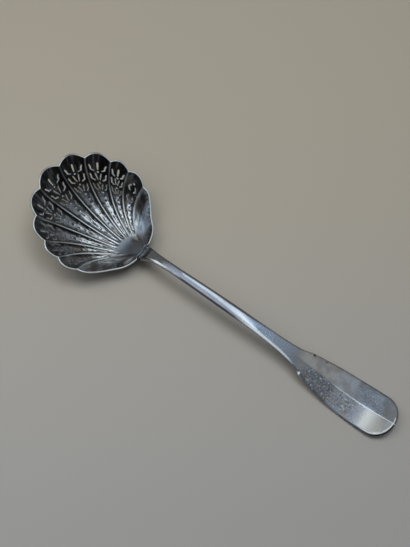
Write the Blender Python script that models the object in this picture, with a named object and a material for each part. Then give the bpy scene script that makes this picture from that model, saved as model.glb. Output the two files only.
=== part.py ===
"""Sugar sifter spoon: a pierced scallop-shell bowl soldered to a fiddle-pattern handle.

Metres, +Z up. The spoon lies on a table at z = 0, on the worn underside of its bowl and on the
underside of its spatula end. +X runs from the bowl to the handle's end.
"""
import math

import bpy
from mathutils import Vector
from mathutils.geometry import delaunay_2d_cdt

MM = 0.001

# Bowl, in millimetres. Its own frame has X toward the stem, Z square to the rim and its origin at the
# rim's centre.
SHEET = 0.9                       # thickness of the silver sheet
RIM_FRONT = 31.0                  # from the bowl's axis to the rim: front, back and side
RIM_BACK = 28.6
RIM_SIDE = 28.3
BOWL_DEPTH = 15.0                 # from the rim's plane down to the ridges at the middle
WALL_FULLNESS = 0.45              # 0 is a shallow dish, 1 a steep-sided cup
BOWL_TILT = math.radians(22.0)    # the front of the rim lies higher than the back
BOWL_CENTRE_X = -72.2
BOWL_CENTRE_Z = 18.1
HEEL_X = 28.15                    # where the flutes' lines meet, beside the stem
HEEL_LIFT = 3.4                   # the rim rises toward the stem
LIFT_START = 8.0                  # and starts to rise here
NOTCHES = (7.3, 20.3, 33.0, 43.1, 54.3)   # degrees from the axis to each ridge, seen from the heel
WING_FOLD = 72.0
WING_END = 90.0
RIDGE_SAG = 0.13                  # how far the ridges bend toward the axis on their way
FLUTE_RISE = 0.15                 # depth of a flute over its width
LOBE_REACH = 0.9                  # how far a lobe stands out past its notches, along the wall
# How far the wings' rim stands off the round: (angle, distance)
WING_RIM = ((NOTCHES[-1], 0.0), (58.5, 0.7), (62.0, -0.7), (67.5, -3.0), (72.0, -2.6), (78.0, -0.9),
            (84.0, -0.1), (WING_END, 0.0))
FLUTE_START = 8.6                 # the flutes fade in over this distance from the heel
FLUTE_FULL = 12.8

# Piercings: u runs across a lobe from -1 to 1, q from the heel (0) to the rim (1)
BAR_WIDTH = 0.85
SLIT_WIDTH = 0.66
FINE_SLIT_WIDTH = 0.5
DOT_SIZE = 0.85
FINE_DOT_SIZE = 0.7

# Handle, in millimetres
STEM_CHAMFER = 0.7
BLADE_EDGE = 0.8
ROOF_DROP = 0.95                  # the spatula's edges lie this far below its central ridge
SHOULDER_X = 53.4
SHOULDER_HALF = 6.5
EDGE_START_X = 47.0               # the stem's chamfer turns into the spatula's edge between these
EDGE_FULL_X = 53.0
ROOF_START_X = 49.0               # and its top into the spatula's roof
ROOF_FULL_X = 61.0
FLAT_START_X = 48.0               # the stem's flat top narrows from here
FLAT_END_X = 63.0                 # and runs out to a point on the ridge here
ROUND_START_X = 94.4              # the spatula's round end starts here
HANDLE_START_X = -42.6
NECK_END_X = -29.5                # the bend up from the bowl ends here
HANDLE_END_X = 104.1
BLADE_HALF = 10.85
TIP_STEPS = 9                     # sections round the spatula's end

# Top of the handle along its middle: (x, z)
CROWN = ((HANDLE_START_X, 12.3), (-39.8, 14.1), (-35.5, 15.5), (-29.5, 16.1), (-21.0, 16.3), (2.8, 16.0),
         (22.6, 14.9), (38.8, 12.5), (50.8, 9.6), (61.8, 6.8), (70.8, 4.3), (78.0, 2.95), (84.0, 2.6),
         (90.0, 3.05), (97.5, 4.8), (HANDLE_END_X, 7.1))
# Half widths and thickness along the handle: (x, size)
STEM_HALF = ((-46.0, 4.4), (-42.6, 3.7), (-39.8, 3.05), (-35.5, 2.4), (-27.0, 2.1), (-10.0, 2.35),
             (10.0, 2.65), (25.0, 2.75), (38.8, 3.3), (46.5, 4.1), (50.5, 5.05), (52.4, 5.9))
BLADE_SIDE = ((SHOULDER_X, SHOULDER_HALF), (61.8, 8.0), (71.8, 9.7), (81.8, 10.6), (88.8, BLADE_HALF),
              (ROUND_START_X, 10.7))
THICKNESS = ((-46.0, 3.6), (-39.8, 3.2), (-29.5, 2.9), (22.6, 2.8), (66.0, 2.8), (HANDLE_END_X, 2.7))

CENTRE_SHIFT = -0.36              # places the spoon so that its box is centred on the origin

# Tongue under the heel and the solder that holds it
TONGUE_LENGTH = 7.6
TONGUE_HALF = 4.0
TONGUE_THICK = 2.2
SOLDER_GAP = 0.1                  # between the solder and each piece it joins
SOLDER_THICK = 0.16
SOLDER_LENGTH = 7.7
FILLET = 0.35                     # how far the solder shows round the tongue
JOINT_STEP = 0.3                  # from the bowl's edge to the handle

# Where points are set on the bowl, as shares of the way from the heel to the rim
RIDGE_ROWS = (0.13, 0.165, 0.21, 0.28, 0.35, 0.43, 0.51, 0.6, 0.68, 0.75, 0.81, 0.87, 0.92, 0.96)
FLUTE_ROWS = (0.3, 0.39, 0.47, 0.56, 0.64, 0.72, 0.84, 0.885, 0.96)
FLUTE_SIDE_ROWS = (0.7, 0.8, 0.9)
WING_ROWS = (0.25, 0.45, 0.62, 0.76, 0.87, 0.95)
HEEL_ROWS = (0.05, 0.095)
FLUTE_END_ROWS = (0.12, 0.15, 0.19)

# Finishes: colour and roughness
SILVER = (0.72, 0.71, 0.69)
BOWL_ROUGHNESS = 0.2
HANDLE_ROUGHNESS = 0.16
SOLDER_COLOUR = (0.6, 0.59, 0.57)
SOLDER_ROUGHNESS = 0.4
SHARP_ANGLE = math.radians(25.0)


def clear_scene():
    for old in list(bpy.data.objects):
        bpy.data.objects.remove(old, do_unlink=True)


def ease(t):
    t = min(max(t, 0.0), 1.0)
    return t * t * (3.0 - 2.0 * t)


def between(start, end, x):
    """How far x is on its way from start to end, eased at both."""
    return ease((x - start) / (end - start))


def curve(table, x):
    """Smooth curve through the (x, value) pairs of a table."""
    if x <= table[0][0]:
        return table[0][1]
    if x >= table[-1][0]:
        return table[-1][1]
    i = max(k for k in range(len(table) - 1) if table[k][0] <= x)

    def slope(k):
        low = table[max(k - 1, 0)]
        high = table[min(k + 1, len(table) - 1)]
        return (high[1] - low[1]) / (high[0] - low[0])

    span = table[i + 1][0] - table[i][0]
    t = (x - table[i][0]) / span
    start = table[i][1] + (table[i + 1][1] - table[i][1]) * ease(t)
    bend = span * (slope(i) * t * (1.0 - t) ** 2 - slope(i + 1) * t * t * (1.0 - t))
    return start + bend


def metal(name, colour, roughness):
    material = bpy.data.materials.new(name)
    material.use_nodes = True
    shader = material.node_tree.nodes["Principled BSDF"]
    shader.inputs["Base Color"].default_value = (*colour, 1.0)
    shader.inputs["Metallic"].default_value = 1.0
    shader.inputs["Roughness"].default_value = roughness
    return material


def make_spoon():
    """The empty that carries the spoon's pieces and places it over the origin."""
    spoon = bpy.data.objects.new("spoon", None)
    spoon.location.x = CENTRE_SHIFT * MM
    bpy.context.scene.collection.objects.link(spoon)
    return spoon


def make_piece(name, points, faces, material, spoon):
    mesh = bpy.data.meshes.new(name)
    mesh.from_pydata([p * MM for p in points], [], faces)
    mesh.update()
    mesh.materials.append(material)
    mesh.shade_smooth()
    mesh.set_sharp_from_angle(angle=SHARP_ANGLE)
    piece = bpy.data.objects.new(name, mesh)
    piece.parent = spoon
    bpy.context.scene.collection.objects.link(piece)
    return piece


# The bowl's surface

FOLDS = [-WING_END, -WING_FOLD] + [-n for n in reversed(NOTCHES)] + list(NOTCHES) + [WING_FOLD, WING_END]


def lobe_at(phi):
    """The fold interval that holds an angle: its index, the place across it (0 to 1) and its width."""
    last = len(FOLDS) - 2
    for k in range(last + 1):
        if phi <= FOLDS[k + 1] or k == last:
            width = FOLDS[k + 1] - FOLDS[k]
            return k, (phi - FOLDS[k]) / width, width


def is_fluted(k):
    return 2 <= k <= len(FOLDS) - 4


def reach(phi):
    """Distance from the heel to the rim in the bowl's plan, along an angle."""
    c = math.cos(math.radians(phi))
    s = math.sin(math.radians(phi))
    far = 0.0
    for half, front in ((RIM_FRONT, True), (RIM_BACK, False)):
        a = (c / half) ** 2 + (s / RIM_SIDE) ** 2
        b = -2.0 * HEEL_X * c / half ** 2
        d = (HEEL_X / half) ** 2 - 1.0
        far = (-b + math.sqrt(b * b - 4.0 * a * d)) / (2.0 * a)
        if (HEEL_X - far * c <= 0.0) == front:
            break
    return far


def base_height(x, y):
    """The plain bowl through the ridges, without its flutes."""
    half = RIM_FRONT if x < 0.0 else RIM_BACK
    out = (x / half) ** 2 + (y / RIM_SIDE) ** 2
    dish = (1.0 - WALL_FULLNESS) * (1.0 - out) + WALL_FULLNESS * (1.0 - out ** 3)
    lift = HEEL_LIFT * between(LIFT_START, RIM_BACK, x) * min(out, 1.2)
    return lift - BOWL_DEPTH * dish


def base_normal(x, y):
    e = 0.01
    dx = (base_height(x + e, y) - base_height(x - e, y)) / (2.0 * e)
    dy = (base_height(x, y + e) - base_height(x, y - e)) / (2.0 * e)
    return Vector((dx, dy, -1.0)).normalized()


def plan(phi, q):
    """Plan position of a point of the shell and the depth of its flute there."""
    k, u, width = lobe_at(phi)
    arch = 4.0 * u * (1.0 - u)
    run = q * reach(phi)
    if is_fluted(k):
        far = run + LOBE_REACH * arch * q ** 4
        depth = FLUTE_RISE * arch * run * math.radians(width)
        depth *= between(FLUTE_START, FLUTE_FULL, run)
    else:
        far = run + curve(WING_RIM, abs(phi)) * q ** 4
        depth = 0.0
    turn = math.radians(phi * (1.0 - RIDGE_SAG * math.sin(math.pi * q)))
    return HEEL_X - far * math.cos(turn), far * math.sin(turn), depth


def to_world(x, y, z):
    c = math.cos(BOWL_TILT)
    s = math.sin(BOWL_TILT)
    return Vector((BOWL_CENTRE_X + x * c + z * s, y, BOWL_CENTRE_Z - x * s + z * c))


def off_base(x, y, out):
    """A point the given distance outside the plain bowl; nothing reaches below the table."""
    n = base_normal(x, y)
    p = to_world(x + n.x * out, y + n.y * out, base_height(x, y) + n.z * out)
    p.z = max(p.z, 0.0)
    return p


# Piercings

def slit(points, width):
    return {"line": points, "width": width}


def mirrored(points):
    return [(-u, q) for u, q in points]


def lobe_piercings(k):
    """A lobe's piercings from the rim inward: palmettes, then pairs of slits and dots."""
    found = []

    def both(points, width):
        found.append(slit(points, width))
        found.append(slit(mirrored(points), width))

    def dot(q, size):
        found.append({"dot": (0.0, q), "size": size})

    def bar(top, bottom, width):
        found.append(slit([(0.0, top), (0.0, 0.6 * top + 0.4 * bottom), (0.0, bottom)], width))

    if k in (2, len(FOLDS) - 4):
        dot(0.925, DOT_SIZE)
        both([(0.26, 0.905), (0.46, 0.883), (0.27, 0.852)], SLIT_WIDTH)
        both([(0.3, 0.8), (0.48, 0.775), (0.3, 0.742)], FINE_SLIT_WIDTH)
    else:
        bar(0.945, 0.896, BAR_WIDTH)
        both([(0.72, 0.944), (0.62, 0.922), (0.58, 0.905), (0.33, 0.889)], SLIT_WIDTH)
        dot(0.878, DOT_SIZE)
        both([(0.27, 0.868), (0.2, 0.848), (0.1, 0.818)], FINE_SLIT_WIDTH)
        both([(0.74, 0.876), (0.67, 0.853), (0.65, 0.834), (0.37, 0.813)], SLIT_WIDTH)
        dot(0.79, FINE_DOT_SIZE)
        both([(0.27, 0.78), (0.2, 0.762), (0.1, 0.735)], FINE_SLIT_WIDTH)
        both([(0.7, 0.79), (0.63, 0.768), (0.62, 0.75), (0.38, 0.728)], FINE_SLIT_WIDTH)
    dot(0.705, DOT_SIZE)
    both([(0.52, 0.7), (0.46, 0.675), (0.4, 0.645)], FINE_SLIT_WIDTH)
    dot(0.655, FINE_DOT_SIZE)
    dot(0.61, DOT_SIZE)
    both([(0.5, 0.6), (0.46, 0.575), (0.42, 0.545)], FINE_SLIT_WIDTH)
    dot(0.55, FINE_DOT_SIZE)
    both([(0.45, 0.5), (0.43, 0.47), (0.42, 0.44)], FINE_SLIT_WIDTH)
    dot(0.49, FINE_DOT_SIZE)
    bar(0.455, 0.4, FINE_SLIT_WIDTH)
    dot(0.37, FINE_DOT_SIZE)
    bar(0.335, 0.262, FINE_SLIT_WIDTH)
    return found


def lobe_metric(k, q):
    """Millimetres per unit of u and per unit of q at the middle of a lobe."""
    mid = 0.5 * (FOLDS[k] + FOLDS[k + 1])
    half = 0.5 * q * reach(mid) * math.radians(FOLDS[k + 1] - FOLDS[k])
    step = 0.01
    x0, y0, d0 = plan(mid, q - step)
    x1, y1, d1 = plan(mid, q + step)
    along = (off_base(x1, y1, d1) - off_base(x0, y0, d0)).length / (2.0 * step)
    return half, along


def outline(k, piercing):
    """A piercing's outline on lobe k as (angle, q) points, counterclockwise in plan."""
    centre = piercing["dot"] if "dot" in piercing else piercing["line"][len(piercing["line"]) // 2]
    across, along = lobe_metric(k, centre[1])
    ring = []
    if "dot" in piercing:
        for i in range(6):
            a = math.tau * i / 6.0
            r = 0.5 * piercing["size"]
            ring.append((centre[0] + r * math.cos(a) / across, centre[1] + r * math.sin(a) / along))
    else:
        line = [Vector((u * across, q * along)) for u, q in piercing["line"]]
        sides = [[], []]
        for i, p in enumerate(line):
            way = (line[min(i + 1, len(line) - 1)] - line[max(i - 1, 0)]).normalized()
            end = i in (0, len(line) - 1)
            half = piercing["width"] * (0.32 if end else 0.5)
            for side, sign in ((0, 1.0), (1, -1.0)):
                sides[side].append(p + sign * half * Vector((-way.y, way.x)))
        ring = [(p.x / across, p.y / along) for p in sides[0] + sides[1][::-1]]
    mid = 0.5 * (FOLDS[k] + FOLDS[k + 1])
    span = 0.5 * (FOLDS[k + 1] - FOLDS[k])
    placed = [(mid + u * span, q) for u, q in ring]
    flat = [plan(phi, q) for phi, q in placed]
    area = sum(a[0] * b[1] - b[0] * a[1] for a, b in zip(flat, flat[1:] + flat[:1]))
    return placed if area > 0.0 else placed[::-1]


def near_hole(x, y, rings, clear):
    """Whether a plan point lies inside a hole's box grown by a margin."""
    for low_x, low_y, high_x, high_y in rings:
        if low_x - clear < x < high_x + clear and low_y - clear < y < high_y + clear:
            return True
    return False


def build_bowl(spoon):
    places = []
    edges = []
    loops = []

    def add(phi, q):
        places.append((phi, q))
        return len(places) - 1

    rim = []
    rim_at = {}
    for k in range(len(FOLDS) - 1):
        steps = 8 if is_fluted(k) else 5
        for i in range(steps):
            phi = FOLDS[k] + (FOLDS[k + 1] - FOLDS[k]) * i / steps
            rim.append(add(phi, 1.0))
            if i == 0:
                rim_at[FOLDS[k]] = rim[-1]
    rim.append(add(WING_END, 1.0))
    heel = [add(WING_END, 0.5), add(0.0, 0.0), add(-WING_END, 0.5)]
    border = rim + heel
    loops.append(border[::-1])

    holes = []
    boxes = []
    for k in range(len(FOLDS) - 1):
        if not is_fluted(k):
            continue
        for piercing in lobe_piercings(k):
            ring = outline(k, piercing)
            holes.append([add(phi, q) for phi, q in ring])
            flat = [plan(phi, q) for phi, q in ring]
            boxes.append((min(p[0] for p in flat), min(p[1] for p in flat),
                          max(p[0] for p in flat), max(p[1] for p in flat)))

    for fold in FOLDS[2:-2]:
        line = [add(fold, q) for q in RIDGE_ROWS] + [rim_at[fold]]
        edges.extend(zip(line, line[1:]))
    for k in range(len(FOLDS) - 1):
        if is_fluted(k):
            grid = [(u, q) for q in FLUTE_ROWS for u in (0.25, 0.5, 0.75)]
            grid += [(u, q) for q in FLUTE_SIDE_ROWS for u in (0.11, 0.89)]
        else:
            grid = [(u, q) for q in WING_ROWS for u in (0.2, 0.6)]
        for u, q in grid:
            phi = FOLDS[k] + u * (FOLDS[k + 1] - FOLDS[k])
            x, y, _ = plan(phi, q)
            if not near_hole(x, y, boxes, 0.3):
                add(phi, q)
    for step in range(-3, 4):
        for q in HEEL_ROWS:
            add(step * 20.0, q)
        for q in FLUTE_END_ROWS:
            add(step * 13.0, q)

    flat = [plan(phi, q) for phi, q in places]
    result = delaunay_2d_cdt([Vector((p[0], p[1])) for p in flat], edges, loops + holes, 0, 1e-6)
    source = [origin[0] for origin in result[3]]
    kept = []
    for triangle, inside in zip(result[2], result[5]):
        if list(inside) == [0]:
            kept.append([source[i] for i in triangle])
    used = sorted({i for triangle in kept for i in triangle})
    slot = {i: n for n, i in enumerate(used)}
    count = len(used)
    points = []
    for skin in (0.0, SHEET):
        for i in used:
            x, y, depth = flat[i]
            points.append(off_base(x, y, depth + skin))
    faces = []
    open_edges = {}
    for triangle in kept:
        a, b, c = [slot[i] for i in triangle]
        faces.append((a, b, c))
        faces.append((c + count, b + count, a + count))
        for edge in ((a, b), (b, c), (c, a)):
            if (edge[1], edge[0]) in open_edges:
                del open_edges[(edge[1], edge[0])]
            else:
                open_edges[edge] = True
    for a, b in open_edges:
        faces.append((b, a, a + count))
        faces.append((b, a + count, b + count))
    return make_piece("shell_bowl", points, faces, metal("silver_bowl", SILVER, BOWL_ROUGHNESS), spoon)


# The handle

def half_width(x):
    if x < SHOULDER_X:
        return curve(STEM_HALF, x)
    if x <= ROUND_START_X:
        return curve(BLADE_SIDE, x)
    t = (x - ROUND_START_X) / (HANDLE_END_X - ROUND_START_X)
    return max(BLADE_SIDE[-1][1] * (1.0 - t ** 2.1) ** 0.52, 0.8)


def stem_loop(x):
    """The handle's section at x, square to its crown line."""
    crown = curve(CROWN, x)
    ahead = min(x + 0.2, HANDLE_END_X)
    behind = max(x - 0.2, HANDLE_START_X)
    run = ahead - behind
    rise = curve(CROWN, ahead) - curve(CROWN, behind)
    up = Vector((-rise, 0.0, run)).normalized()
    w = half_width(x)
    edge = STEM_CHAMFER + (BLADE_EDGE - STEM_CHAMFER) * between(EDGE_START_X, EDGE_FULL_X, x)
    edge = min(edge, 0.4 * w)
    drop = ROOF_DROP * between(ROOF_START_X, ROOF_FULL_X, x) * min(1.0, w / BLADE_HALF * 1.25)
    thick = curve(THICKNESS, x)
    flat = (w - edge) * (0.94 - 0.9 * between(FLAT_START_X, FLAT_END_X, x))
    side = [(0.0, 0.0), (flat, -0.01), (w - edge, -0.03 - drop), (w, -drop - edge), (w, edge - thick),
            (w - edge, -thick), (0.0, -thick)]
    ring = side + [(-y, h) for y, h in side[-2:0:-1]]
    loop = []
    for y, h in ring:
        p = Vector((x, y, crown)) + up * h
        p.z = max(p.z, 0.0)
        loop.append(p)
    return loop


def handle_stations():
    """Where the handle's sections are taken: closer together at its bends, shoulders and round end."""
    stretches = ((HANDLE_START_X, NECK_END_X, 6), (NECK_END_X, FLAT_START_X, 10),
                 (FLAT_START_X, SHOULDER_X, 5), (SHOULDER_X, ROUND_START_X, 14))
    found = []
    for start, end, steps in stretches:
        found.extend(start + (end - start) * i / steps for i in range(steps))
    for i in range(TIP_STEPS + 1):
        share = math.sin(0.5 * math.pi * i / TIP_STEPS)
        found.append(ROUND_START_X + (HANDLE_END_X - ROUND_START_X) * share)
    return found


def round_steps(length, count):
    """Distances from a round end back to its start, closer together at the end."""
    return [length * math.cos(0.5 * math.pi * i / count) for i in range(count)] + [0.0]


def tongue_loop(run, top, half, thick):
    """A section that follows the heel's outside, run millimetres in from its edge."""
    share = ((0.0, 0.0), (0.45, 0.0), (0.85, 0.0), (1.0, 0.12), (0.97, 0.4), (0.6, 0.85), (0.0, 1.0))
    side = [(y * half, t * thick) for y, t in share]
    ring = side + [(-y, t) for y, t in side[-2:0:-1]]
    return [off_base(HEEL_X - run, y, top + t) for y, t in ring]


def build_handle(spoon):
    under = SHEET + 2.0 * SOLDER_GAP + SOLDER_THICK
    loops = []
    for run in round_steps(TONGUE_LENGTH, 7)[:-1] + [-JOINT_STEP]:
        t = max(run, 0.0) / TONGUE_LENGTH
        half = TONGUE_HALF * max(1.0 - t ** 2.6, 0.05) ** 0.6
        loops.append(tongue_loop(run, under, half, TONGUE_THICK * (1.0 - 0.8 * t)))
    loops.append(tongue_loop(-JOINT_STEP - 0.15, 0.0, TONGUE_HALF, under + TONGUE_THICK))
    loops.extend(stem_loop(x) for x in handle_stations())
    size = len(loops[0])
    points = [p for loop in loops for p in loop]
    faces = []
    for n in range(len(loops) - 1):
        for i in range(size):
            j = (i + 1) % size
            a, b = n * size + i, n * size + j
            faces.append((a, a + size, b + size, b))
    faces.append(tuple(range(size)))
    faces.append(tuple(reversed(range(len(points) - size, len(points)))))
    return make_piece("handle", points, faces, metal("silver_handle", SILVER, HANDLE_ROUGHNESS), spoon)


def build_solder(spoon):
    runs = round_steps(SOLDER_LENGTH, 7)
    across = (-1.0, -0.6, -0.2, 0.2, 0.6, 1.0)
    points = []
    for skin in (SHEET + SOLDER_GAP, SHEET + SOLDER_GAP + SOLDER_THICK):
        for run in runs:
            t = run / (TONGUE_LENGTH + FILLET)
            half = (TONGUE_HALF + FILLET) * max(1.0 - t ** 2.6, 0.05) ** 0.6
            points.extend(off_base(HEEL_X - run, share * half, skin) for share in across)
    cols = len(across)
    count = len(runs) * cols
    faces = []
    for r in range(len(runs) - 1):
        for c in range(cols - 1):
            a = r * cols + c
            faces.append((a, a + cols, a + cols + 1, a + 1))
            faces.append((a + count, a + count + 1, a + count + cols + 1, a + count + cols))
    last = len(runs) - 1
    ring = list(range(cols)) + [r * cols + cols - 1 for r in range(1, last + 1)]
    ring += [last * cols + c for c in range(cols - 2, -1, -1)] + [r * cols for r in range(last - 1, 0, -1)]
    for a, b in zip(ring, ring[1:] + ring[:1]):
        faces.append((a, b, b + count, a + count))
    return make_piece("solder_seam", points, faces, metal("solder", SOLDER_COLOUR, SOLDER_ROUGHNESS), spoon)


clear_scene()
whole = make_spoon()
build_bowl(whole)
build_handle(whole)
build_solder(whole)
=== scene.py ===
import math

import bpy
import numpy as np
from mathutils import Matrix, Vector
from mathutils.geometry import delaunay_2d_cdt


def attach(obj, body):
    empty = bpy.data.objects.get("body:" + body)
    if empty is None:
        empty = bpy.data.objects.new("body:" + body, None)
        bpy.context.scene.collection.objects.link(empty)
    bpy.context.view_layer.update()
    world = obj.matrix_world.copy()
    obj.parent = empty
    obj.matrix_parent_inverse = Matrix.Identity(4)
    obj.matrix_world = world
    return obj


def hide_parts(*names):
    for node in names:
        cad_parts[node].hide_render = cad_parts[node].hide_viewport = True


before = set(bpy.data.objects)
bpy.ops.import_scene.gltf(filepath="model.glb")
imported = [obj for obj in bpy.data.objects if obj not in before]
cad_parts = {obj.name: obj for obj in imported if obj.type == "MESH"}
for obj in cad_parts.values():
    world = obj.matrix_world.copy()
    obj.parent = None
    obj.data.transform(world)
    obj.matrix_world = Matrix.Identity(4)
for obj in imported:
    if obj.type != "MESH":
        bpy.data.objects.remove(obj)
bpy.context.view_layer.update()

# Sugar sifter spoon: the pierced shell bowl, the handle and the solder between them, as finished silver.
# Lengths are in millimetres and become metres when a mesh is made. A place on the bowl is an angle in degrees
# from its middle line, seen from the heel, and q, which runs from 0 at the heel to 1 at the rim.
MM = 0.001
SHARP_ANGLE = math.radians(50.0)

# Bowl
SHEET = 0.9
RIM_FRONT = 31.0
RIM_BACK = 28.6
RIM_SIDE = 28.3
BOWL_DEPTH = 15.0
WALL_FULLNESS = 0.45
BOWL_TILT = math.radians(22.0)
BOWL_CENTRE_X = -72.2
BOWL_CENTRE_Z = 18.1
HEEL_X = 28.15
HEEL_LIFT = 3.4
LIFT_START = 8.0
LIFT_LIMIT = 1.2
NOTCHES = (7.3, 20.3, 33.0, 43.1, 54.3)
WING_FOLD = 72.0
WING_END = 90.0
WING_PANELS = 2  # plain panels at each end of the row of lobes
RIDGE_SAG = 0.13
FLUTE_RISE = 0.15
LOBE_REACH = 0.9
# How far the wings' rim stands off the round: (angle, distance)
WING_RIM = ((NOTCHES[-1], 0.0), (58.5, 0.7), (62.0, -0.7), (67.5, -3.0), (72.0, -2.6), (78.0, -0.9),
            (84.0, -0.1), (WING_END, 0.0))
FLUTE_START = 8.6
FLUTE_FULL = 12.8
CREST = 0.07  # rounding of the ridges, as a share of a flute's height
EDGE_ROUND = 0.24  # how far the rim's edge bulges out past the sheet
CENTRE_SHIFT = -0.36  # puts the middle of the spoon's length at the origin

# Piercings
BAR_WIDTH = 0.8
SLIT_WIDTH = 0.58
FINE_SLIT_WIDTH = 0.46
DOT_SIZE = 0.85
FINE_DOT_SIZE = 0.7
HOLE_BEVEL = 0.05  # worn edge of each piercing
HOLE_SHARE = 0.32  # widest piercing as a share of half its lobe
BAR_SWELL_AT = 0.4
SLIT_END = 0.27  # half a slit's width at its ends, and what it gains in between
SLIT_SWELL = 0.23
SLIT_LEAN = 0.8
CAP_SIDE = 0.71  # rounded ends of a slit, as shares of its half width
CAP_OUT = 0.5
CAP_NOSE = 0.7

# Handle
STEM_CHAMFER = 0.7
BLADE_EDGE = 1.15
ROOF_DROP = 0.95
SHOULDER_X = 53.4
SHOULDER_HALF = 6.5
FLAT_START_X = 48.0
FLAT_END_X = 63.0
ROUND_START_X = 94.4
HANDLE_START_X = -42.6
HANDLE_END_X = 104.1
BLADE_HALF = 10.85
CROWN = ((HANDLE_START_X, 12.3), (-39.8, 14.1), (-35.5, 15.5), (-29.5, 16.1), (-21.0, 16.3), (2.8, 16.0),
         (22.6, 14.9), (38.8, 12.5), (50.8, 9.6), (61.8, 6.8), (70.8, 4.3), (78.0, 2.95), (84.0, 2.6),
         (90.0, 3.05), (97.5, 4.8), (HANDLE_END_X, 7.1))
STEM_HALF = ((-46.0, 4.4), (-42.6, 3.7), (-39.8, 3.05), (-35.5, 2.4), (-27.0, 2.1), (-10.0, 2.35),
             (10.0, 2.65), (25.0, 2.75), (38.8, 3.3), (46.5, 4.1), (50.5, 5.05), (52.4, 5.9))
BLADE_SIDE = ((SHOULDER_X, SHOULDER_HALF), (61.8, 8.0), (71.8, 9.7), (81.8, 10.6), (88.8, BLADE_HALF),
              (ROUND_START_X, 10.7))
THICKNESS = ((-46.0, 3.6), (-39.8, 3.2), (-29.5, 2.9), (22.6, 2.8), (66.0, 2.8), (HANDLE_END_X, 2.7))
TIP_POWER = 2.1  # roundness of the blade's end
TIP_ROUND = 0.52
TONGUE_LENGTH = 7.6
TONGUE_HALF = 4.0
TONGUE_THICK = 2.2
SOLDER_GAP = 0.1
SOLDER_THICK = 0.16
JOINT_STEP = 0.3
JOINT_RISE = 0.15


# Numbers along a line

def ease(t):
    t = np.clip(t, 0.0, 1.0)
    return t * t * (3.0 - 2.0 * t)


def rise(value, start, over):
    """0 up to a start, easing to 1 over a distance past it."""
    return ease((value - start) / over)


def fall(value, end, over):
    """0 from an end on, easing from 1 over a distance before it."""
    return ease((end - value) / over)


def band(value, low, high, soft, soft_after=None):
    """1 between two values, easing to 0 over a soft margin outside them, or over one margin for each end."""
    return ease((value - low) / soft + 1.0) * ease((high - value) / (soft_after or soft) + 1.0)


def straight(table, x):
    """Straight lines through the (x, value) pairs of a table."""
    at, value = zip(*table)
    return np.interp(x, at, value)


def curve(table, x):
    """Smooth curve through the (x, value) pairs of a table."""
    at = np.array([row[0] for row in table])
    value = np.array([row[1] for row in table])
    x = np.clip(np.asarray(x, float), at[0], at[-1])
    i = np.clip(np.searchsorted(at, x, side="right") - 1, 0, len(at) - 2)
    low = np.maximum(np.arange(len(at)) - 1, 0)
    high = np.minimum(np.arange(len(at)) + 1, len(at) - 1)
    slope = (value[high] - value[low]) / (at[high] - at[low])
    span = at[i + 1] - at[i]
    t = (x - at[i]) / span
    start = value[i] + (value[i + 1] - value[i]) * ease(t)
    return start + span * (slope[i] * t * (1.0 - t) ** 2 - slope[i + 1] * t * t * (1.0 - t))


# Pieces

def make_piece(name, points, faces):
    mesh = bpy.data.meshes.new(name)
    placed = (np.asarray(points, float) + (CENTRE_SHIFT, 0.0, 0.0)) * MM
    mesh.from_pydata(placed.tolist(), [], faces)
    mesh.update()
    mesh.shade_smooth()
    mesh.set_sharp_from_angle(angle=SHARP_ANGLE)
    piece = bpy.data.objects.new(name, mesh)
    bpy.context.scene.collection.objects.link(piece)
    return piece


def set_attribute(piece, name, values, kind="FLOAT", field="value"):
    layer = piece.data.attributes.new(name, kind, "POINT")
    layer.data.foreach_set(field, np.asarray(values, np.float32).ravel())


# The bowl's surface

FOLDS = np.array([-WING_END, -WING_FOLD] + [-n for n in reversed(NOTCHES)] + list(NOTCHES)
                 + [WING_FOLD, WING_END])
LOBES = len(FOLDS) - 1
FLUTED = range(WING_PANELS, LOBES - WING_PANELS)
SLOPE_STEP = 0.01


def is_fluted(k):
    return (k >= FLUTED[0]) & (k <= FLUTED[-1])


def lobe_span(k):
    """A lobe's middle angle and half its width."""
    return 0.5 * (FOLDS[k] + FOLDS[k + 1]), 0.5 * (FOLDS[k + 1] - FOLDS[k])


def reach(phi):
    """Distance from the heel to the rim in the bowl's plan, along an angle."""
    c = np.cos(np.radians(phi))
    s = np.sin(np.radians(phi))
    found = []
    for half in (RIM_FRONT, RIM_BACK):
        a = (c / half) ** 2 + (s / RIM_SIDE) ** 2
        b = -2.0 * HEEL_X * c / half ** 2
        d = (HEEL_X / half) ** 2 - 1.0
        found.append((-b + np.sqrt(b * b - 4.0 * a * d)) / (2.0 * a))
    return np.where(HEEL_X - found[0] * c <= 0.0, found[0], found[1])


def base_height(x, y):
    half = np.where(x < 0.0, RIM_FRONT, RIM_BACK)
    out = (x / half) ** 2 + (y / RIM_SIDE) ** 2
    dish = (1.0 - WALL_FULLNESS) * (1.0 - out) + WALL_FULLNESS * (1.0 - out ** 3)
    lift = HEEL_LIFT * rise(x, LIFT_START, RIM_BACK - LIFT_START) * np.minimum(out, LIFT_LIMIT)
    return lift - BOWL_DEPTH * dish


def base_normal(x, y):
    e = SLOPE_STEP
    dx = (base_height(x + e, y) - base_height(x - e, y)) / (2.0 * e)
    dy = (base_height(x, y + e) - base_height(x, y - e)) / (2.0 * e)
    n = np.stack([dx, dy, -np.ones_like(dx)], axis=-1)
    return n / np.linalg.norm(n, axis=-1, keepdims=True)


def flute_arch(phi):
    """Lobe index and the flute's height there, 0 on the ridges and 1 in the middle of a flute."""
    k = np.clip(np.searchsorted(FOLDS, phi) - 1, 0, LOBES - 1)
    u = (phi - FOLDS[k]) / (FOLDS[k + 1] - FOLDS[k])
    arch = 4.0 * u * (1.0 - u)
    return k, (np.sqrt(arch ** 2 + CREST ** 2) - CREST) / (math.sqrt(1.0 + CREST ** 2) - CREST)


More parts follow.
